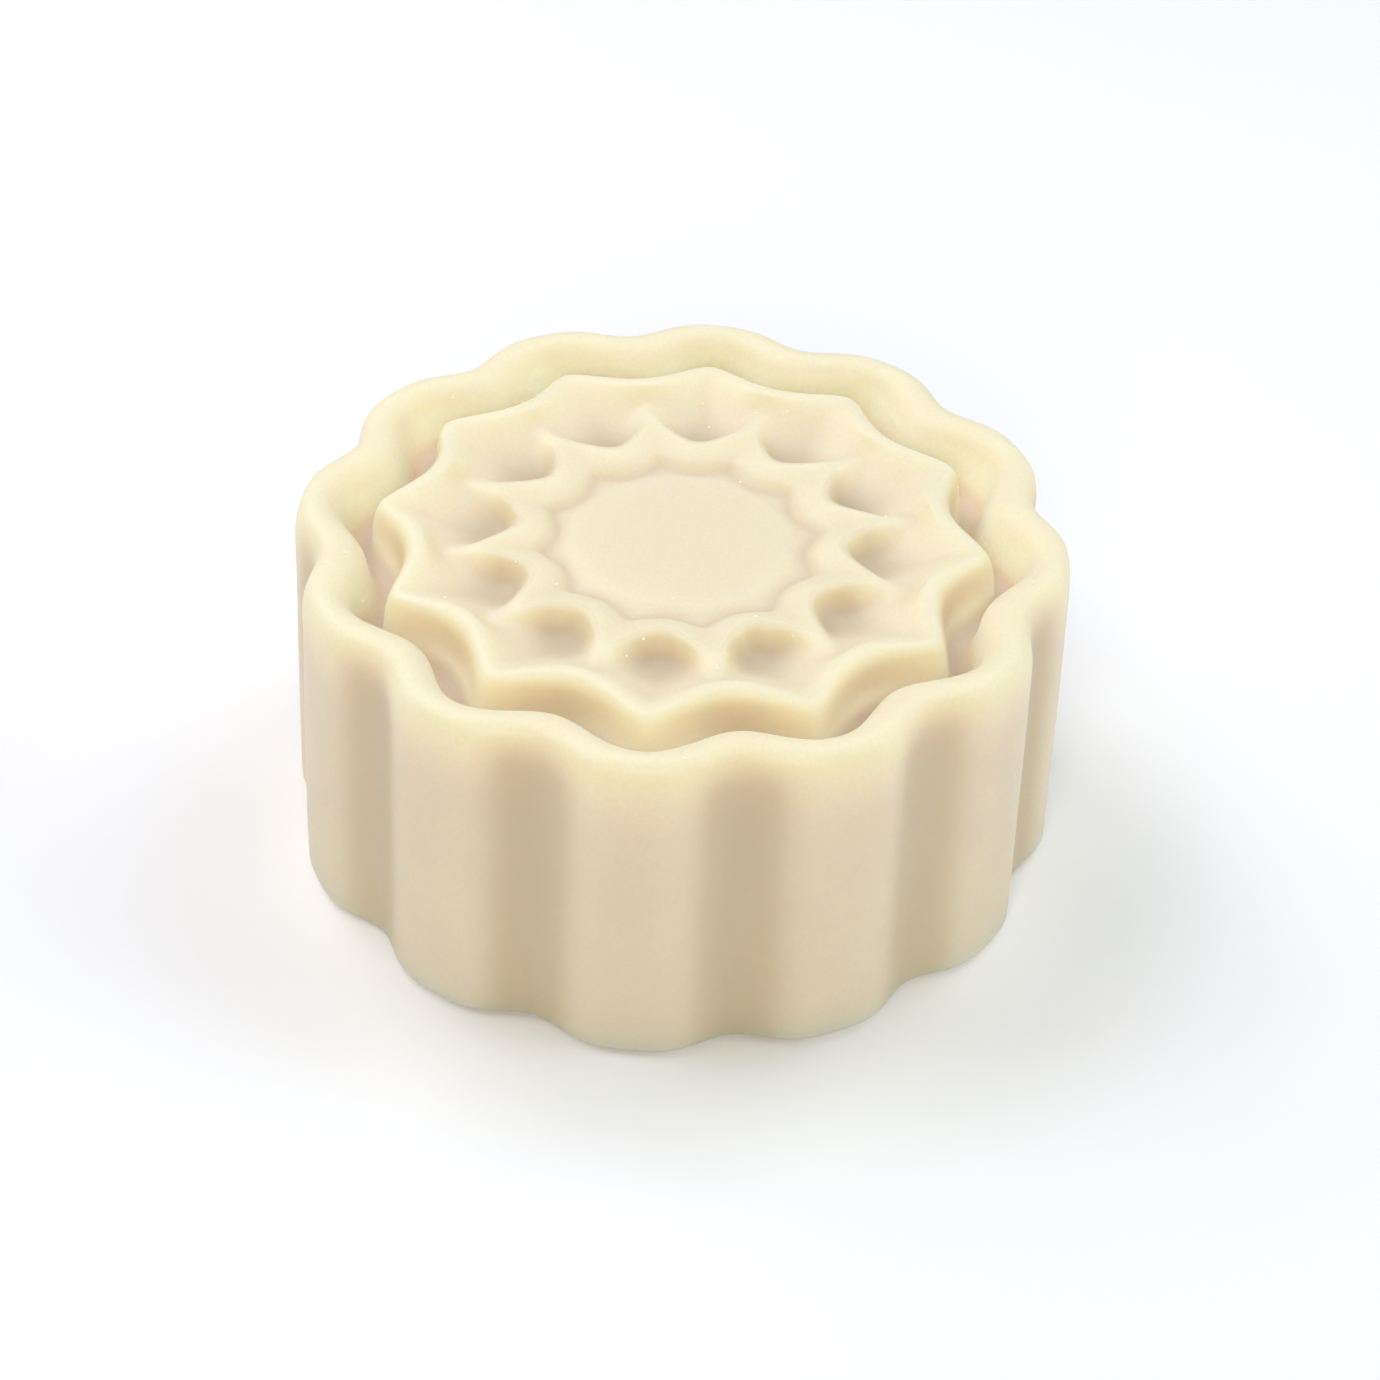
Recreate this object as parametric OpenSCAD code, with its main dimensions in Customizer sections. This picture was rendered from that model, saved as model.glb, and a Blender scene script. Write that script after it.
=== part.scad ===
// Shaving soap puck: a short round cake of cast soap with a fluted side and a flower relief on top.
// The relief is a set of wavy rings round one centre. Every ring repeats once for each lobe of the side.
// The puck stands on z = 0, its axis is Z, and a lobe faces -Y.

/* [Puck] */
// Diameter across the lobes at the base
puck_d = 76; // [60:1:90]
// Height from the base to the top of the rim
puck_h = 33.5; // [28:0.5:42]
// Number of lobes round the side
lobes = 12; // [10:2:16]

/* [Scalloped wall] */
// Depth of the grooves between the lobes
groove_depth = 2.2; // [0.5:0.1:3]
// Breadth of the lobes: 0 makes an even wave, 0.125 makes broad flat lobes and narrow grooves
lobe_breadth = 0.125; // [0:0.005:0.125]
// How far the wall leans in from the base to the rim
wall_draft = 0.9; // [0:0.1:2]
// Mean radius of the rim's inner edge, as a share of the puck's radius
rim_inner = 0.847; // [0.83:0.001:0.87]
// Half the wave of the rim's inner edge
rim_wave = 1.5; // [0.5:0.1:1.8]
// Depth of the moat inside the rim
moat_depth = 6.2; // [5:0.1:8]

/* [Star collar] */
// Radius of the star's points, as a share of the puck's radius
star_tip = 0.75; // [0.73:0.001:0.76]
// Radius of the star's notches, as a share of the puck's radius
star_notch = 0.665; // [0.65:0.001:0.68]
// Depth of the petal pockets at their inner end
pocket_depth = 3.6; // [3:0.1:5]
// Depth of the petal pockets half-way along
petal_depth = 2.5; // [1.8:0.1:2.9]

/* [Inner crown] */
// Radius of the crown's points, as a share of the puck's radius
crown_tip = 0.495; // [0.48:0.001:0.51]
// Radius of the crown's arcs, as a share of the puck's radius
crown_arc = 0.397; // [0.385:0.001:0.41]
// How far the crown's top lies under the rim
crown_drop = 1.3; // [0.5:0.1:2]

/* [Centre button] */
// Radius of the crease round the button, as a share of the puck's radius
crease_share = 0.31; // [0.305:0.001:0.315]
// How far the crease lies under the rim
crease_drop = 2.6; // [2:0.1:3.2]
// Radius of the button's round edge, as a share of the puck's radius
button_share = 0.298; // [0.28:0.001:0.3]
// How far the middle of the button rises over the crease
button_rise = 0.8; // [0.4:0.1:1.5]

/* [Hidden] */

radius = puck_d / 2;
pitch = 360 / lobes;
// Columns of points round the puck, the same number for each lobe
columns = 10 * lobes;
// Steps in each rounded corner of a section
corner_steps = 2;
// Height of the plain core that carries the relief
core_h = puck_h - moat_depth - 4;
moat_z = puck_h - moat_depth;
button_r = radius * button_share;
// The rounded bottom edge: how far it reaches in along the base and up the side
foot_in = 1.2;
foot_up = 1.6;
// Depth under the rim at which the side starts to round over
rim_bend = 6;
// How far the corners of the rim's section lie under its top
rim_round = 0.8;
// Distance from the rim's inner edge to the middle of the moat
moat_half = 2.6;
// Bluntness of the points of the star and the crown, as a share of half a lobe's pitch
point_blunt = 0.16;
// How far the star's notches lie under the rim, and how much lower its points are
star_drop = 0.3;
tip_drop = 0.5;
// Height of the radial ridges between the pockets, under the rim
ridge_drop = 1.5;
// Distance from the crest of the crown to the bottom of the pockets
crown_foot = 2.4;
// How much further out the crease runs between the lobes
crease_wave = 1.3;

soap = [0.96, 0.92, 0.8];
soap_shade = [0.93, 0.88, 0.75];

// Distance of angle a from the nearest lobe: 0 on the lobe's crest, 1 in the groove
function off_lobe(a) = abs((a / pitch + 0.5) % 1 - 0.5) * 2;

// Broad lobes with narrow grooves: 1 on a lobe, 0 in a groove
function lobe_wave(x) = (1 + cos(180 * x)) / 2 + lobe_breadth * (1 - cos(360 * x));

// A blunt point with arcs on both sides: 1 at x = 0, falling to 0 at x = 1
function point_wave(x) =
    let (run = (norm([x, point_blunt]) - point_blunt) / (norm([1, point_blunt]) - point_blunt))
    (1 - run) ^ 2;

// Radii of the wavy rings at distance x from a lobe
function side_r(x, z) = radius - groove_depth * (1 - lobe_wave(x)) - wall_draft * z / puck_h;
function rim_inner_r(x) = radius * rim_inner + rim_wave * cos(180 * x);
function moat_r(x) = rim_inner_r(x) - moat_half;
function star_r(x) = radius * (star_notch + (star_tip - star_notch) * point_wave(x));
function crown_r(x) = radius * (crown_arc + (crown_tip - crown_arc) * point_wave(1 - x));
function pocket_r(x) = crown_r(x) + crown_foot;
function crease_r(x) = radius * crease_share + crease_wave * point_wave(1 - x);

// Heights of the rings at distance x from a lobe
function ridge(x) = (1 - cos(180 * x)) / 2;
function star_z(x) = puck_h - star_drop - tip_drop * point_wave(x);
function petal_z(x) = puck_h - petal_depth + (petal_depth - ridge_drop) * ridge(x);
function pocket_z(x) = puck_h - pocket_depth + (pocket_depth - ridge_drop) * ridge(x) ^ 2;
crown_z = puck_h - crown_drop;
crease_z = puck_h - crease_drop;

// Control points of each zone's upper surface, as [r, z], going up the side and in to the centre
function wall_line(x) =
    let (outer = side_r(x, puck_h), inner = rim_inner_r(x), moat = moat_r(x))
    [
        [side_r(x, 0) - foot_in, 0],
        [side_r(x, 0), 0],
        [side_r(x, foot_up), foot_up],
        [side_r(x, puck_h - rim_bend), puck_h - rim_bend],
        // over the rim
        [outer, puck_h - rim_round],
        [(outer + inner) / 2, puck_h + rim_round / 3],
        [inner - 0.4, puck_h - rim_round],
        // down into the moat
        [inner - 0.9, puck_h - 0.65 * moat_depth],
        [moat + 1, moat_z],
        [moat, moat_z]
    ];
function collar_line(x) =
    let (
        moat = moat_r(x), star = star_r(x), top = star_z(x),
        foot = pocket_r(x), pit = pocket_z(x), petal = petal_z(x), run = star - foot
    )
    [
        [moat, moat_z],
        [moat - 0.9, moat_z],
        [star + 1.6, top - 3.6],
        // over the star's broad crest
        [star + 1.3, top - 1.2],
        [star + 0.5, top + 0.2],
        [star - 0.9, top + 0.3],
        // down the petal, at shares of the way from the crest to the pocket's foot
        [star - 0.28 * run, top - 0.4],
        [star - 0.52 * run, petal],
        [star - 0.75 * run, pit + 0.15 * (petal - pit)],
        [star - 0.92 * run, pit],
        [foot, pit]
    ];
function crown_line(x) =
    let (crown = crown_r(x), crease = crease_r(x), pit = pocket_z(x))
    [
        [pocket_r(x), pit],
        [crown + 1.9, pit + 0.1],
        [crown + 1.3, pit + 0.65 * (crown_z - pit)],
        // over the crown's crest
        [crown + 0.7, crown_z + 0.1],
        [crown - 0.4, crown_z + 0.15],
        [crease + 1.5, crown_z - 0.35],
        // down into the crease
        [crease + 0.7, crease_z + 0.3],
        [crease + 0.2, crease_z],
        [crease, crease_z]
    ];
function button_line(x) = [
    [crease_r(x), crease_z],
    [button_r, crease_z + 0.1 * button_rise],
    [button_r - 1, crease_z + 0.75 * button_rise],
    [button_r - 3.5, crease_z + 0.95 * button_rise],
    [0, crease_z + button_rise]
];

// A curve from the first point to the last that rounds off the corners between them
function rounded(p) = [
    for (i = [1 : len(p) - 2])
        let (
            start = i == 1 ? p[0] : (p[i - 1] + p[i]) / 2,
            end = i == len(p) - 2 ? p[i + 1] : (p[i] + p[i + 1]) / 2
        )
        for (j = [i == 1 ? 0 : 1 : corner_steps])
            let (t = j / corner_steps)
            (1 - t) ^ 2 * start + 2 * t * (1 - t) * p[i] + t ^ 2 * end
];

// The places of the columns round the puck
column_angles = [for (i = [0 : columns - 1]) 360 * i / columns];
function at(a, p) = [p[0] * cos(a), p[0] * sin(a), p[1]];

// Two triangles for each four-sided patch between one column of m points and the next
function patches(n, m, closed) = [
    for (i = [0 : n - 1], j = [0 : closed ? m - 1 : m - 2])
        let (
            a = i * m + j,
            b = i * m + (j + 1) % m,
            c = (i + 1) % n * m + (j + 1) % m,
            d = (i + 1) % n * m + j
        )
        each [[a, c, b], [a, d, c]]
];

// A ring whose closed section changes round the axis
module wavy_ring(sections) {
    points = [for (i = [0 : columns - 1]) for (p = sections[i]) at(column_angles[i], p)];
    polyhedron(points, patches(columns, len(sections[0]), true), convexity = 8);
}

// A disc closed by a point on the axis above and below
module wavy_disc(sections, top_z, bottom_z) {
    m = len(sections[0]);
    rim = [for (i = [0 : columns - 1]) for (p = sections[i]) at(column_angles[i], p)];
    bottom = len(rim);
    top = bottom + 1;
    fans = [
        for (i = [0 : columns - 1])
            let (next = (i + 1) % columns)
            each [[bottom, i * m, next * m], [top, next * m + m - 1, i * m + m - 1]]
    ];
    polyhedron(
        concat(rim, [[0, 0, bottom_z], [0, 0, top_z]]),
        concat(patches(columns, m, false), [for (f = fans) [f[0], f[2], f[1]]]),
        convexity = 4
    );
}

// The plain disc of soap under the relief
module base_core() {
    color(soap_shade)
        linear_extrude(height = core_h)
            polygon([for (a = column_angles) moat_r(off_lobe(a)) * [cos(a), sin(a)]]);
}

// The fluted side, the rounded rim and the outer bank of the moat
module scalloped_wall() {
    color(soap)
        wavy_ring([
            for (a = column_angles)
                let (x = off_lobe(a))
                concat(rounded(wall_line(x)), [[moat_r(x), 0]])
        ]);
}

// The ridge with one point for each lobe, its outer bank and the petal pockets inside it
module star_collar() {
    color(soap_shade)
        wavy_ring([
            for (a = column_angles)
                let (x = off_lobe(a))
                concat(rounded(collar_line(x)), [[pocket_r(x), core_h], [moat_r(x), core_h]])
        ]);
}

// The wavy rope round the button, its points between the lobes
module inner_crown() {
    color(soap)
        wavy_ring([
            for (a = column_angles)
                let (x = off_lobe(a))
                concat(rounded(crown_line(x)), [[crease_r(x), core_h], [pocket_r(x), core_h]])
        ]);
}

// The smooth, slightly domed middle
module centre_button() {
    color(soap_shade)
        wavy_disc(
            [
                for (a = column_angles)
                    let (x = off_lobe(a), line = rounded(button_line(x)))
                    concat([[crease_r(x), core_h]], [for (i = [0 : len(line) - 2]) line[i]])
            ],
            crease_z + button_rise,
            core_h
        );
}

base_core();
scalloped_wall();
star_collar();
inner_crown();
centre_button();
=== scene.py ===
"""The looks of a shaving soap puck: a cream cake with a fluted side and a flower relief on top."""

import math
import random

import bmesh
import bpy
import numpy as np
from mathutils import Matrix, Vector, noise


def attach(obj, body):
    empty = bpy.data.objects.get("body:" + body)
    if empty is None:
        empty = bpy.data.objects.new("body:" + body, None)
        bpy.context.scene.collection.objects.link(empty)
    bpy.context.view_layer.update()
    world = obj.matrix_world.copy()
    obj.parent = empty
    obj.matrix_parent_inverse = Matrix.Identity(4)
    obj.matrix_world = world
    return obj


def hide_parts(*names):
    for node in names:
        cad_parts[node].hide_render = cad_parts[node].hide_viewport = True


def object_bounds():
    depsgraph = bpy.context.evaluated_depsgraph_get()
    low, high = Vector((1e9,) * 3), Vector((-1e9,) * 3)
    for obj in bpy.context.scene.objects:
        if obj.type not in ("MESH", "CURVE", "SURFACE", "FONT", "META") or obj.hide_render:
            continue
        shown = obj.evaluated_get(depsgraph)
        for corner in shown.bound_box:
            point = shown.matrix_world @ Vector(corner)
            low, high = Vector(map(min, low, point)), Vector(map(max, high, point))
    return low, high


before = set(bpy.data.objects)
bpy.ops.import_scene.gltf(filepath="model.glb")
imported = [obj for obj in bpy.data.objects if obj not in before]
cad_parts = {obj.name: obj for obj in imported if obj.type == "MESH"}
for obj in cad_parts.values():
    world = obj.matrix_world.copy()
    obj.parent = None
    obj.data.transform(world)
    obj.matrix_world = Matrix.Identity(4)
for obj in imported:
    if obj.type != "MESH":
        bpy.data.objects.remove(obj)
CAD_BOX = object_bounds()

MM = 0.001

# ---------------------------------------------------------------- the mould's dimensions, in millimetres
LOBES = 12
RADIUS = CAD_BOX[1].x / MM
HEIGHT = CAD_BOX[1].z / MM

# The side and the rim
GROOVE_DEPTH = 2.2
LOBE_BREADTH = 0.125
WALL_DRAFT = 0.9
FOOT_IN = 1.2
FOOT_UP = 1.6
RIM_BEND = 6.0
RIM_ROUND = 0.8
RIM_INNER = 0.847 * RADIUS
RIM_WAVE = 1.5
# The moat inside the rim
MOAT_HALF = 2.6
MOAT_DEPTH = 6.2
MOAT_BEND = 4.0
# The star ridge and the pockets inside it
STAR_TIP = 0.75 * RADIUS
STAR_NOTCH = 0.665 * RADIUS
STAR_DROP = 0.3
TIP_DROP = 0.5
RIDGE_DROP = 1.5
POCKET_DEPTH = 3.6
PETAL_DEPTH = 2.5
POINT_BLUNT = 0.16
# The wavy crown, the crease inside it and the centre button
CROWN_TIP = 0.495 * RADIUS
CROWN_ARC = 0.397 * RADIUS
CROWN_DROP = 1.3
CROWN_FOOT = 2.4
CREASE_R = 0.31 * RADIUS
CREASE_WAVE = 1.3
CREASE_DROP = 2.6
BUTTON_R = 0.298 * RADIUS
BUTTON_RISE = 0.8
# Heights of the core's flat top, the foot it stands on, and the rings of the relief
CORE_H = HEIGHT - MOAT_DEPTH - 4.0
FOOT_H = 3.0
MOAT_Z = HEIGHT - MOAT_DEPTH
CROWN_Z = HEIGHT - CROWN_DROP
CREASE_Z = HEIGHT - CREASE_DROP

# Points round each lobe, and points round each corner of a section
COLUMNS_PER_LOBE = 36
CORNER_STEPS = 8


# ---------------------------------------------------------------- waves that shape the rings
def off_lobe(angle):
    """0 on the crest of a lobe, 1 in the groove between two."""
    pitch = 2 * math.pi / LOBES
    return np.abs((angle / pitch + 0.5) % 1 - 0.5) * 2


def even_wave(x):
    return np.cos(math.pi * x)


def lobe_wave(x):
    """Broad lobes with narrow grooves: 1 on a lobe, 0 in a groove."""
    return (1 + np.cos(math.pi * x)) / 2 + LOBE_BREADTH * (1 - np.cos(2 * math.pi * x))


def point_wave(x):
    """A blunt point with an arc on each side: 1 at x = 0, 0 at x = 1."""
    run = (np.hypot(x, POINT_BLUNT) - POINT_BLUNT) / (math.hypot(1, POINT_BLUNT) - POINT_BLUNT)
    return (1 - run) ** 2


def side_r(x, z):
    return RADIUS - GROOVE_DEPTH * (1 - lobe_wave(x)) - WALL_DRAFT * z / HEIGHT


def rim_inner_r(x):
    return RIM_INNER + RIM_WAVE * even_wave(x)


def moat_r(x):
    return rim_inner_r(x) - MOAT_HALF


def star_r(x):
    return STAR_NOTCH + (STAR_TIP - STAR_NOTCH) * point_wave(x)


def crown_r(x):
    return CROWN_ARC + (CROWN_TIP - CROWN_ARC) * point_wave(1 - x)


def pocket_r(x):
    return crown_r(x) + CROWN_FOOT


def crease_r(x):
    return CREASE_R + CREASE_WAVE * point_wave(1 - x)


def star_z(x):
    return HEIGHT - STAR_DROP - TIP_DROP * point_wave(x)


def ridge(x):
    """1 along the soft ridges between the pockets, 0 in the middle of a pocket."""
    return (1 - even_wave(x)) / 2


def line(x, *points):
    """Control points of a section for every column: an array of [point][column][r, z]."""
    flat = np.ones_like(x)
    return np.array([[r * flat, z * flat] for r, z in points]).transpose(0, 2, 1)


def wall_line(x):
    """Up the side, over the rim and down into the moat."""
    top = side_r(x, HEIGHT)
    inner = rim_inner_r(x)
    return line(
        x,
        (side_r(x, 0) - FOOT_IN, 0),
        (side_r(x, 0), 0),
        (side_r(x, FOOT_UP), FOOT_UP),
        (side_r(x, HEIGHT - RIM_BEND), HEIGHT - RIM_BEND),
        (top, HEIGHT - RIM_ROUND),
        ((top + inner) / 2, HEIGHT + RIM_ROUND / 3),
        (inner - 0.4, HEIGHT - RIM_ROUND),
        (inner - 0.9, HEIGHT - MOAT_BEND),
        (moat_r(x) + 1.0, MOAT_Z),
        (moat_r(x), MOAT_Z),
    )


def relief_line(x):
    """From the moat over the star, the pockets and the crown, and across the button to the middle."""
    star, tip_z = star_r(x), star_z(x)
    crown, foot = crown_r(x), pocket_r(x)
    run = star - foot
    pit_z = HEIGHT - POCKET_DEPTH + (POCKET_DEPTH - RIDGE_DROP) * ridge(x) ** 2
    petal_z = HEIGHT - PETAL_DEPTH + (PETAL_DEPTH - RIDGE_DROP) * ridge(x)
    return line(
        x,
        (moat_r(x), MOAT_Z),
        (moat_r(x) - 0.9, MOAT_Z),
        # the star's bank and its broad crest
        (star + 1.6, tip_z - 3.6),
        (star + 1.3, tip_z - 1.2),
        (star + 0.5, tip_z + 0.2),
        (star - 0.9, tip_z + 0.3),
        # down the petal to the pocket's foot
        (star - 0.28 * run, tip_z - 0.4),
        (star - 0.52 * run, petal_z),
        (star - 0.75 * run, pit_z + 0.15 * (petal_z - pit_z)),
        (foot, pit_z),
        # over the crown and down into the crease
        (crown + 1.3, pit_z + 0.65 * (CROWN_Z - pit_z)),
        (crown + 0.7, CROWN_Z + 0.1),
        (crown - 0.4, CROWN_Z + 0.15),
        (crease_r(x) + 1.5, CROWN_Z - 0.35),
        (crease_r(x) + 0.7, CREASE_Z + 0.3),
        (crease_r(x) + 0.1, CREASE_Z - 0.1),
        # up on to the button
        (BUTTON_R, CREASE_Z + 0.1 * BUTTON_RISE),
        (BUTTON_R - 1.0, CREASE_Z + 0.75 * BUTTON_RISE),
        (BUTTON_R - 3.5, CREASE_Z + 0.95 * BUTTON_RISE),
        (0.3, CREASE_Z + BUTTON_RISE),
    )


def rounded(points):
    """A curve from the first point to the last that rounds off the corners between them."""
    rows = []
    last = len(points) - 2
    for i in range(1, last + 1):
        start = points[0] if i == 1 else (points[i - 1] + points[i]) / 2
        end = points[-1] if i == last else (points[i] + points[i + 1]) / 2
        for j in range(0 if i == 1 else 1, CORNER_STEPS + 1):
            t = j / CORNER_STEPS
            rows.append((1 - t) ** 2 * start + 2 * t * (1 - t) * points[i] + t * t * end)
    return np.array(rows)


# ---------------------------------------------------------------- meshes
COLUMNS = LOBES * COLUMNS_PER_LOBE
ANGLES = np.arange(COLUMNS) * 2 * math.pi / COLUMNS
# Each column's distance from its lobe
OFF = off_lobe(ANGLES)
# The sharpest fold that is still shaded smoothly, in degrees
SMOOTH_FOLD = 50


def mesh_piece(name, vertices, faces):
    mesh = bpy.data.meshes.new(name)
    mesh.from_pydata(vertices, [], faces)
    mesh.update()
    mesh.shade_smooth()
    mesh.set_sharp_from_angle(angle=math.radians(SMOOTH_FOLD))
    piece = bpy.data.objects.new(name, mesh)
    bpy.context.scene.collection.objects.link(piece)
    return piece


def swept(rows):
    """Points of rows of [column][r, z], as metres."""
    r, z = rows[..., 0], rows[..., 1]
    return np.stack([r * np.cos(ANGLES), r * np.sin(ANGLES), z], axis=-1) * MM


def disc_piece(name, rows):
    """A closed disc: the first and the last row are closed with one point on the axis."""
    points = swept(rows).reshape(-1, 3).tolist()
    count = len(rows)
    faces = []
    for i in range(count - 1):
        for j in range(COLUMNS):
            n = (j + 1) % COLUMNS
            below, above = i * COLUMNS, (i + 1) * COLUMNS
            faces.append((below + j, below + n, above + n, above + j))
    low, high = len(points), len(points) + 1
    points += [[0, 0, rows[0, 0, 1] * MM], [0, 0, rows[-1, 0, 1] * MM]]
    top = (count - 1) * COLUMNS
    for j in range(COLUMNS):
        n = (j + 1) % COLUMNS
        faces.append((low, n, j))
        faces.append((high, top + j, top + n))
    return mesh_piece(name, points, faces)


def level(r, z):
    """A row at one height, for every column."""
    return np.stack([r, np.full_like(r, z)], axis=-1)


# The skin and the core share the hidden flat top, upright side and sloping foot of the core
wall_rows = rounded(wall_line(OFF))
relief_rows = rounded(relief_line(OFF))
inside = [level(moat_r(OFF), CORE_H), level(moat_r(OFF), FOOT_H), level(wall_rows[0, :, 0], 0)]
skin = disc_piece("cast_soap_skin", np.concatenate([inside[:2], wall_rows, relief_rows[1:]]))
core = disc_piece("base_core_soap", np.array(inside[::-1]))


def smooth_step(value, low, high):
    t = np.clip((value - low) / (high - low), 0, 1)
    return t * t * (3 - 2 * t)


# How many crumbs there are, and their smallest and largest radius
CRUMBS = 50
CRUMB_SIZES = (0.07, 0.17)
CRUMB_SEED = 7


def add_crumbs(piece, rows):
    """Tiny crumbs of dry soap stuck to the skin; their faces use the second material."""
    chance = random.Random(CRUMB_SEED)
    places = swept(rows).reshape(-1, 3)
    shape = bmesh.new()
    shape.from_mesh(piece.data)
    for _ in range(CRUMBS):
        place = Vector(chance.choice(places))
        size = chance.uniform(*CRUMB_SIZES) * MM
        spot = Matrix.Translation(place)
        crumb = bmesh.ops.create_icosphere(shape, subdivisions=1, radius=size, matrix=spot)
        for face in {face for vertex in crumb["verts"] for face in vertex.link_faces}:
            face.material_index = 1
            face.smooth = True
    shape.to_mesh(piece.data)
    shape.free()


# Crumbs lie above the rounded foot and outside the smooth button
add_crumbs(skin, np.concatenate([wall_rows[2 * CORNER_STEPS:], relief_rows[:-3 * CORNER_STEPS]]))

# The bowl-shaped shade of a pocket: the radius of its middle and its reach out, in and to each side
POCKET_MIDDLE = 17.9
POCKET_OUT = 6.2
POCKET_IN = 3.9
POCKET_HALF = 5.6
# How squarely the bowl fills its corners: 0 is an oval
POCKET_SQUARE = 0.3
# Half the breadth of the shaded line along the crease
CREASE_HALF = 0.8


def relief_masks(x, y, z):
    """How far points in millimetres lie in each kind of hollow, from 0 to 1, and how deep they lie."""
    radius = np.hypot(x, y)
    off = off_lobe(np.arctan2(y, x))
    under = np.clip(HEIGHT - z, 0, None)
    star, moat = star_r(off), moat_r(off)
    rim_crest = (side_r(off, HEIGHT) + rim_inner_r(off)) / 2

    # painted shade in a bowl at the inner end of each petal
    out = radius - POCKET_MIDDLE
    along = np.where(out > 0, out / POCKET_OUT, -out / POCKET_IN)
    across = off * math.pi / LOBES * radius / POCKET_HALF
    reach = np.hypot(along, across) + POCKET_SQUARE * np.minimum(along, across)
    bowl = 1 - smooth_step(reach, 0.15, 1.0)

    # painted shade on the star's outer bank, strongest at its notches and fading again towards the moat's
    # bottom
    bank = smooth_step(under, 0.4, 1.8) * (1 - 0.8 * smooth_step(under, 2.5, 5.0))
    bank = bank * (0.4 + 0.6 * ridge(off))

    # painted light on both banks of the moat, weaker at its bottom
    channel = np.where(radius > moat, smooth_step(under, 0.3, 2.8), smooth_step(under, 1.6, 4.5))
    channel = channel * (1 - 0.6 * smooth_step(under, 4.2, 6.0))

    # painted shade in the side's grooves, fading out at the rim
    groove = smooth_step(1 - lobe_wave(off), 0.05, 0.8) * smooth_step(under, -0.5, 4.5)

    return {
        "pocket": np.where((radius > crown_r(off)) & (radius < star), bowl, 0),
        "bank": np.where((radius > star) & (radius < moat), bank, 0),
        "channel": np.where((radius > star) & (radius < rim_crest), channel, 0),
        "groove": np.where(radius < rim_crest, 0, groove),
        "under": under,
        "crease": np.exp(-(((radius - crease_r(off)) / CREASE_HALF) ** 2)),
    }


def mark_relief(piece):
    """Stores the masks of the hollows on the piece's points, before they are made uneven."""
    places = np.empty(len(piece.data.vertices) * 3)
    piece.data.vertices.foreach_get("co", places)
    for name, values in relief_masks(*(places.reshape(-1, 3).T / MM)).items():
        piece.data.attributes.new(name, "FLOAT", "POINT").data.foreach_set("value", values)


# The unevenness of the casting: the shift and the breadth of its broad and its fine waves
BROAD_SHIFT, BROAD_SPAN = 0.16, 17
FINE_SHIFT, FINE_SPAN = 0.035, 4.5
# How far from the base and from the rim the heights stay true
TRUE_BAND = 3
CASTING_SEED = 5


def settle(piece):
    """The slight unevenness of a hand-poured casting: the same shift for every piece at the same place."""
    for vertex in piece.data.vertices:
        place = vertex.co / MM
        shift = BROAD_SHIFT * noise.noise_vector(place / BROAD_SPAN)
        shift += FINE_SHIFT * noise.noise_vector(place / FINE_SPAN)
        shift.z *= min(1.0, place.z / TRUE_BAND) * min(1.0, (HEIGHT + 1 - place.z) / TRUE_BAND)
        vertex.co += shift * MM


# Seeded, so that every run gives the same casting
noise.seed_set(CASTING_SEED)
for piece in (skin, core):
    mark_relief(piece)
    settle(piece)


# ---------------------------------------------------------------- material
def node_group(name, inputs, outputs):
    """A shader group with named number inputs, where None makes it a place, and number outputs."""
    group = bpy.data.node_groups.new(name, "ShaderNodeTree")
    for socket, default in inputs.items():
        kind = "NodeSocketVector" if default is None else "NodeSocketFloat"
        made = group.interface.new_socket(socket, in_out="INPUT", socket_type=kind)
        if default is not None:
            made.default_value = default
    for socket in outputs:
        group.interface.new_socket(socket, in_out="OUTPUT", socket_type="NodeSocketFloat")
    return group, group.nodes.new("NodeGroupInput").outputs, group.nodes.new("NodeGroupOutput").inputs


class Wiring:
    """Short ways to add nodes to one tree."""

    def __init__(self, tree):
        self.tree = tree

    def add(self, kind, inputs=None, **settings):
        node = self.tree.nodes.new("ShaderNode" + kind)
        for name, value in settings.items():
            setattr(node, name, value)
        for socket, value in (inputs or {}).items():
            self.set(node.inputs[socket], value)
        return node

    def set(self, socket, value):
        if isinstance(value, bpy.types.NodeSocket):
            self.tree.links.new(value, socket)
        else:
            socket.default_value = value

    def math(self, operation, first, second=0.0):
        return self.add("Math", {0: first, 1: second}, operation=operation).outputs[0]

    def ramp(self, value, low, high, out_low=0.0, out_high=1.0, smooth=True):
        kind = "SMOOTHSTEP" if smooth else "LINEAR"
        sockets = {"Value": value, "From Min": low, "From Max": high, "To Min": out_low, "To Max": out_high}
        return self.add("MapRange", sockets, interpolation_type=kind).outputs["Result"]

    def mix(self, share, first, second):
        node = self.add("Mix", data_type="RGBA")
        for index, value in ((0, share), (6, first), (7, second)):
            self.set(node.inputs[index], value)
        return node.outputs[2]

    def place(self):
        """The place on the object, in millimetres."""
        where = self.add("TexCoord").outputs["Object"]
        return self.add("VectorMath", {0: where, "Scale": 1 / MM}, operation="SCALE").outputs["Vector"]

    def bump(self, height, strength, distance):
        sockets = {"Height": height, "Strength": strength, "Distance": distance}
        return self.add("Bump", sockets).outputs["Normal"]


def new_material(name):
    """A material, its Principled shader's inputs, and the wiring of its tree."""
    mat = bpy.data.materials.new(name)
    mat.use_nodes = True
    return mat, mat.node_tree.nodes["Principled BSDF"].inputs, Wiring(mat.node_tree)


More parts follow.
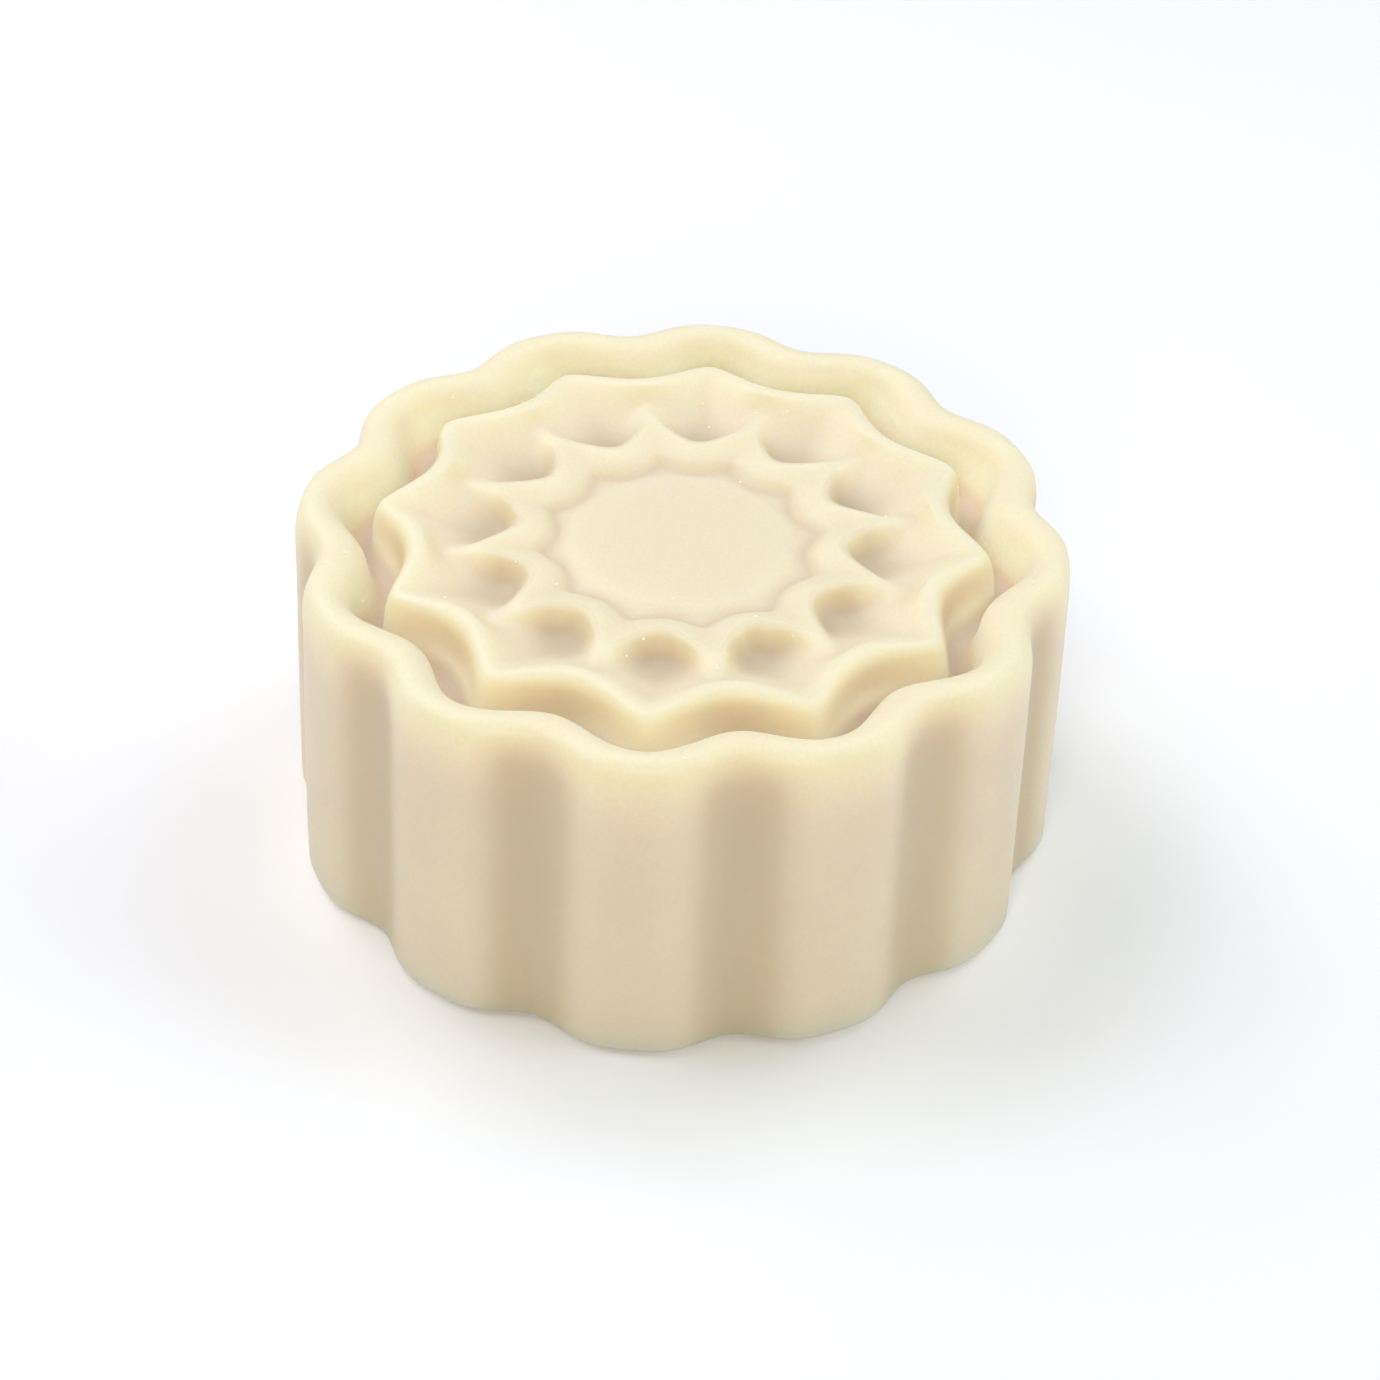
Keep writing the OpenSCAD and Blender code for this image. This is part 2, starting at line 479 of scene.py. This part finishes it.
def waxy_grain():
    """Cloudy mottling and the fine uneven skin of set soap, from a place in millimetres."""
    inputs, outputs = {"Place": None, "Size": 9.0}, ("Cloud", "Grain", "Height")
    group, given, put_out = node_group("waxy_grain", inputs, outputs)
    wire = Wiring(group)

    def mottle(scale, detail, roughness):
        sockets = {"Vector": given["Place"], "Scale": scale, "Detail": detail, "Roughness": roughness}
        return wire.add("TexNoise", sockets).outputs["Fac"]

    cloud = mottle(wire.math("DIVIDE", 1.0, given["Size"]), 3.0, 0.55)
    fine = mottle(2.6, 4.0, 0.6)
    swell = mottle(0.45, 2.0, 0.5)
    wire.set(put_out["Cloud"], wire.ramp(cloud, 0.3, 0.7))
    wire.set(put_out["Grain"], wire.ramp(fine, 0.35, 0.65))
    wire.set(put_out["Height"], wire.math("ADD", wire.math("MULTIPLY", fine, 0.25), swell))
    return group


def air_specks():
    """Sparse small marks: burst air bubbles and crumbs of soap, a few to each square centimetre."""
    inputs = {"Place": None, "Spacing": 5.0, "Share": 0.2, "Radius": 0.16}
    group, given, put_out = node_group("air_specks", inputs, ("Mask",))
    wire = Wiring(group)
    scale = wire.math("DIVIDE", 1.0, given["Spacing"])
    cells = wire.add("TexVoronoi", {"Vector": given["Place"], "Scale": scale, "Randomness": 1.0})
    pick = wire.add("SeparateColor", {"Color": cells.outputs["Color"]})
    chosen = wire.math("LESS_THAN", pick.outputs["Red"], given["Share"])
    share = wire.ramp(pick.outputs["Green"], 0.0, 1.0, 0.4, 1.0, smooth=False)
    size = wire.math("MULTIPLY", given["Radius"], share)
    away = wire.math("MULTIPLY", cells.outputs["Distance"], given["Spacing"])
    spot = wire.ramp(wire.math("DIVIDE", away, size), 0.6, 1.0, 1.0, 0.0)
    wire.set(put_out["Mask"], wire.math("MULTIPLY", spot, chosen))
    return group


# How strongly each kind of hollow gets painted shade, and how strongly painted glow pales the soap near the
# rim and to what depth
POCKET_SHADE = 0.75
BANK_SHADE = 0.7
CREASE_SHADE = 0.2
GROOVE_SHADE = 0.85
PAINTED_RIM_GLOW = 0.8
PAINTED_GLOW_DEPTH = 9.0
# The masks stored on each piece's points, in small letters there
MASKS = ("Pocket", "Bank", "Channel", "Crease", "Groove", "Under")


def painted_shade_and_glow():
    """Painted shade in the hollows and grooves, painted glow near the top, and painted light on the moat's
    banks.
    """
    inputs = {mask: 0.0 for mask in MASKS}
    group, given, put_out = node_group("painted_shade_and_glow", inputs, ("HollowShade", "Groove", "PaintedGlow", "MoatLight"))
    wire = Wiring(group)
    painted_shade = wire.math("MULTIPLY", given["Pocket"], POCKET_SHADE)
    for socket, share in (("Bank", BANK_SHADE), ("Crease", CREASE_SHADE)):
        painted_shade = wire.math("ADD", painted_shade, wire.math("MULTIPLY", given[socket], share))
    wire.set(put_out["HollowShade"], wire.math("MINIMUM", painted_shade, 1.0))
    # painted shade in the side's grooves
    wire.set(put_out["Groove"], wire.math("MULTIPLY", given["Groove"], GROOVE_SHADE))
    wire.set(put_out["PaintedGlow"], wire.ramp(given["Under"], 0.0, PAINTED_GLOW_DEPTH, PAINTED_RIM_GLOW, 0.0))
    wire.set(put_out["MoatLight"], given["Channel"])
    return group


GRAIN = waxy_grain()
SPECKS = air_specks()
SHADE_AND_GLOW = painted_shade_and_glow()

CREAM = (0.80, 0.69, 0.51, 1)
CREAM_PINK = (0.79, 0.66, 0.50, 1)
# paler cream for the painted glow near the rim, also the flakes' colour in the crumbs
CREAM_PALE = (0.91, 0.815, 0.58, 1)
# near-white cream for the painted light that lifts the moat's banks
CREAM_PAINTED_LIGHT = (0.97, 0.90, 0.74, 1)
# darker cream: painted shade in the hollows and grooves, and also the soap's darker grain and pinholes
CREAM_SHADE_AND_GRAIN = (0.66, 0.53, 0.345, 1)
CRUMB_WHITE = (0.93, 0.90, 0.82, 1)

# How far light travels inside the soap, in metres, and the share of that for red, green and blue
LIGHT_REACH = 0.006
LIGHT_SPREAD = (1.0, 0.8, 0.5)
# Height of the skin's bumps, in metres
SKIN_BUMP = 0.0001
FLAKE_BUMP = 0.00002


def cast_soap(name, cloud_size=9.0, roughness=0.45, bump=0.15):
    """Waxy cream soap that light passes into, with painted shade in the hollows and grooves, painted glow
    at the rim and painted light in the moat.
    """
    mat, shader, wire = new_material(name)
    place = wire.place()

    def group(tree, **inputs):
        return wire.add("Group", inputs, node_tree=tree).outputs

    def stored(attribute):
        return wire.add("Attribute", attribute_name=attribute).outputs["Fac"]

    grain = group(GRAIN, Place=place, Size=cloud_size)
    crumbs = group(SPECKS, Place=place, Spacing=6.0, Share=0.2, Radius=0.24)["Mask"]
    pinholes = group(SPECKS, Place=place, Spacing=3.7, Share=0.1, Radius=0.12)["Mask"]
    painted_shading = group(SHADE_AND_GLOW, **{mask: stored(mask.lower()) for mask in MASKS})

    colour = wire.mix(grain["Cloud"], CREAM, CREAM_PINK)
    # painted glow, paler towards the rim's top
    colour = wire.mix(painted_shading["PaintedGlow"], colour, CREAM_PALE)
    # painted light on the moat's banks
    colour = wire.mix(painted_shading["MoatLight"], colour, CREAM_PAINTED_LIGHT)
    # painted shade in the pockets, on the star's bank and along the crease
    colour = wire.mix(painted_shading["HollowShade"], colour, CREAM_SHADE_AND_GRAIN)
    # painted shade in the side's grooves
    colour = wire.mix(painted_shading["Groove"], colour, CREAM_SHADE_AND_GRAIN)
    colour = wire.mix(wire.math("MULTIPLY", grain["Grain"], 0.1), colour, CREAM_SHADE_AND_GRAIN)
    # the pinholes are real dents in the bump, and their darker colour is painted shade in the pits
    colour = wire.mix(pinholes, colour, CREAM_SHADE_AND_GRAIN)
    colour = wire.mix(crumbs, colour, CRUMB_WHITE)
    wire.set(shader["Base Color"], colour)

    dull = wire.math("MULTIPLY", grain["Grain"], 0.12)
    wire.set(shader["Roughness"], wire.math("ADD", dull, roughness))

    height = wire.math("ADD", wire.math("SUBTRACT", grain["Height"], pinholes), crumbs)
    wire.set(shader["Normal"], wire.bump(height, bump, SKIN_BUMP))

    wire.set(shader["Subsurface Weight"], 1.0)
    wire.set(shader["Subsurface Radius"], LIGHT_SPREAD)
    wire.set(shader["Subsurface Scale"], LIGHT_REACH)
    return mat


def crumb_painted_glow():
    """Dry, flaky soap, whiter than the cast skin and brighter from a weak emission, a painted glow."""
    mat, shader, wire = new_material("crumb_painted_glow")
    sockets = {"Vector": wire.place(), "Scale": 8.0, "Detail": 2.0}
    flakes = wire.add("TexNoise", sockets).outputs["Fac"]
    colour = wire.mix(flakes, CRUMB_WHITE, CREAM_PALE)
    wire.set(shader["Base Color"], colour)
    # painted glow: the crumbs give off light in their own colour
    wire.set(shader["Emission Color"], colour)
    wire.set(shader["Emission Strength"], 0.25)
    wire.set(shader["Roughness"], wire.ramp(flakes, 0.3, 0.7, 0.6, 0.8))
    wire.set(shader["Normal"], wire.bump(flakes, 1.0, FLAKE_BUMP))
    return mat


SKIN_SOAP = cast_soap("cast_soap_skin")
BASE_SOAP = cast_soap("cast_soap_base", cloud_size=12.0, roughness=0.55, bump=0.4)

for piece, finishes, nodes in (
    (skin, (SKIN_SOAP, crumb_painted_glow()), ("scalloped_wall", "star_collar", "inner_crown", "centre_button")),
    (core, (BASE_SOAP,), ("base_core",)),
):
    for finish in finishes:
        piece.data.materials.append(finish)
    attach(piece, "root")
    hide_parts(*nodes)

# ---------------------------------------------------------------- studio
# The camera: its angles in radians, and in millimetres its distance, its lens and the point it looks at
TURN = 0.0804
PITCH = 0.6734
ROLL = 0.0408
DISTANCE = 287.29
LENS = 76.14
AIM = Vector((1.398, -2.518, 15.0))
# In metres: the floor's size and how far it lies under the puck, and the height the lamps point at
FLOOR_SIZE = 6
FLOOR_GAP = 0.0002
LAMP_AIM = Vector((0, 0, 0.015))


def make_camera():
    data = bpy.data.cameras.new("camera")
    data.lens = LENS
    data.sensor_width = 36
    data.clip_start = 0.01
    data.clip_end = 50
    camera = bpy.data.objects.new("camera", data)
    bpy.context.scene.collection.objects.link(camera)
    ahead = Vector((0, math.cos(PITCH), -math.sin(PITCH)))
    right = Vector((1, 0, 0))
    up = Vector((0, math.sin(PITCH), math.cos(PITCH)))
    tilted_right = math.cos(ROLL) * right + math.sin(ROLL) * up
    tilted_up = -math.sin(ROLL) * right + math.cos(ROLL) * up
    axes = Matrix((tilted_right, tilted_up, -ahead)).transposed().to_4x4()
    place = Matrix.Translation((AIM - ahead * DISTANCE) * MM) @ axes
    camera.matrix_world = Matrix.Rotation(TURN, 4, "Z") @ place
    bpy.context.scene.camera = camera


def make_floor():
    bpy.ops.mesh.primitive_plane_add(size=FLOOR_SIZE, location=(0, 0, -FLOOR_GAP))
    floor = bpy.context.object
    floor.name = "floor"
    mat, shader, wire = new_material("pale_floor")
    wire.set(shader["Base Color"], (0.97, 0.97, 0.97, 1))
    wire.set(shader["Roughness"], 0.9)
    wire.set(shader["Specular IOR Level"], 0.1)
    floor.data.materials.append(mat)


# Profile of the white sweep round the floor: radius and height, in metres
SWEEP = ((0.34, -0.0001), (0.8, 0.0), (1.1, 0.04), (1.3, 0.2), (1.4, 0.6), (1.4, 1.8))
SWEEP_STEPS = 64


def make_backdrop():
    """A white sweep that closes the view behind the floor; it casts no light on the puck."""
    shape = bmesh.new()
    turns = [2 * math.pi * i / SWEEP_STEPS for i in range(SWEEP_STEPS)]
    rings = [[shape.verts.new((r * math.cos(t), r * math.sin(t), z)) for t in turns] for r, z in SWEEP]
    for low, high in zip(rings, rings[1:]):
        for i in range(SWEEP_STEPS):
            k = (i + 1) % SWEEP_STEPS
            shape.faces.new((low[i], low[k], high[k], high[i]))
    mesh = bpy.data.meshes.new("backdrop")
    shape.to_mesh(mesh)
    shape.free()
    backdrop = bpy.data.objects.new("backdrop", mesh)
    bpy.context.scene.collection.objects.link(backdrop)
    mat, shader, wire = new_material("white_sweep")
    wire.set(shader["Base Color"], (0, 0, 0, 1))
    wire.set(shader["Emission Color"], (1, 1, 1, 1))
    wire.set(shader["Emission Strength"], 1.0)
    mesh.materials.append(mat)
    for ray in ("diffuse", "glossy", "transmission", "volume_scatter", "shadow"):
        setattr(backdrop, "visible_" + ray, False)


# The lamps' distance and breadth, in metres
LAMP_REACH = 0.6
LAMP_SIZE = 0.3
# Azimuth and height of each lamp round the puck, in degrees, and its watts of red, green and blue
LAMPS = {
    "front": (-90, 35, (1.55, 1.55, 1.45)),
    "back_left": (135, 35, (0.60, 0.60, 0.50)),
    "back_left_high": (135, 60, (0.65, 0.65, 0.85)),
    "back_left_low": (135, 15, (0.20, 0.10, 0.05)),
    "back_right": (45, 35, (0.35, 0.35, 0.20)),
    "back_right_high": (45, 60, (0.60, 0.70, 0.90)),
    "back_right_low": (45, 15, (0.15, 0.05, 0.0)),
    "right": (0, 35, (0.50, 0.65, 0.65)),
    "right_low": (0, 15, (0.45, 0.45, 0.50)),
    "left": (180, 35, (0.40, 0.55, 0.60)),
    "left_high": (180, 60, (0.65, 0.60, 0.60)),
}
# The dim warm light that comes from all round
FILL_COLOUR = (1.0, 0.5, 0.35, 1)
FILL_STRENGTH = 0.035


def softbox(name, azimuth, height, watts):
    power = max(watts)
    light = bpy.data.lights.new(name, "AREA")
    light.shape = "DISK"
    light.size = LAMP_SIZE
    light.energy = power
    light.color = [w / power for w in watts]
    turn, rise = math.radians(azimuth), math.radians(height)
    away = LAMP_REACH * math.cos(rise)
    place = Vector((away * math.cos(turn), away * math.sin(turn), LAMP_REACH * math.sin(rise)))
    holder = bpy.data.objects.new(name, light)
    holder.location = place
    holder.rotation_euler = (LAMP_AIM - place).to_track_quat("-Z", "Y").to_euler()
    bpy.context.scene.collection.objects.link(holder)


def make_studio():
    world = bpy.data.worlds.new("studio")
    world.use_nodes = True
    background = world.node_tree.nodes["Background"]
    background.inputs["Color"].default_value = FILL_COLOUR
    background.inputs["Strength"].default_value = FILL_STRENGTH
    bpy.context.scene.world = world
    for name, (azimuth, height, watts) in LAMPS.items():
        softbox(name, azimuth, height, watts)
    bpy.context.scene.view_settings.view_transform = "Standard"


make_camera()
make_floor()
make_backdrop()
make_studio()
